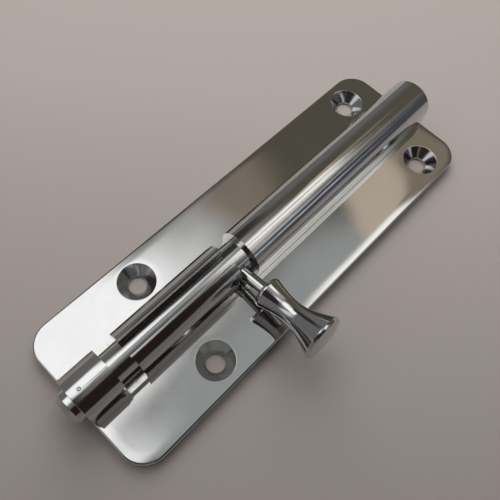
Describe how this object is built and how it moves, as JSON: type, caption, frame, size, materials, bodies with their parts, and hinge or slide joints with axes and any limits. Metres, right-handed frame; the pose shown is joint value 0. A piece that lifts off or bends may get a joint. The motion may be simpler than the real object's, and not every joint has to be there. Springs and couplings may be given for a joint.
{
  "type": "barrel bolt",
  "caption": "Surface-mounted barrel bolt on a rounded plate, with a round sliding rod, a slotted U-section barrel and a waisted turning knob.",
  "frame": {"origin": "centre of the plate's back face", "axes": "+Z out of the door, X along the bolt, the rod is thrown along -X, Y across the plate"},
  "size_m": [0.1529, 0.0627, 0.0224],
  "materials": {
    "chrome_plate": "polished",
    "screw_steel": "satin",
    "nylon": "matt"
  },
  "bodies": {
    "body": {"base_plate": "chrome_plate", "barrel": "chrome_plate", "end_plug": "chrome_plate", "collar_pin": "screw_steel", "barrel_screw_1": "screw_steel", "barrel_screw_2": "screw_steel", "barrel_screw_3": "screw_steel", "barrel_screw_4": "screw_steel", "barrel_screw_5": "screw_steel", "barrel_screw_6": "screw_steel", "barrel_screw_7": "screw_steel", "barrel_screw_8": "screw_steel"},
    "slider": {"guide_ring_1": "nylon", "guide_ring_2": "nylon"},
    "bolt": {"bolt_rod": "chrome_plate", "knob_stem": "chrome_plate", "knob": "chrome_plate"}
  },
  "joints": [
    {"name": "bolt_slide", "type": "slide", "parent": "body", "child": "slider", "axis": [-1, 0, 0], "range_m": [-0.0021, 0.0025]},
    {"name": "knob_turn", "type": "hinge", "parent": "slider", "child": "bolt", "pos_m": [-0.0165, 0, 0.01], "axis": [1, 0, 0], "range_deg": [-162, 0]}
  ]
}
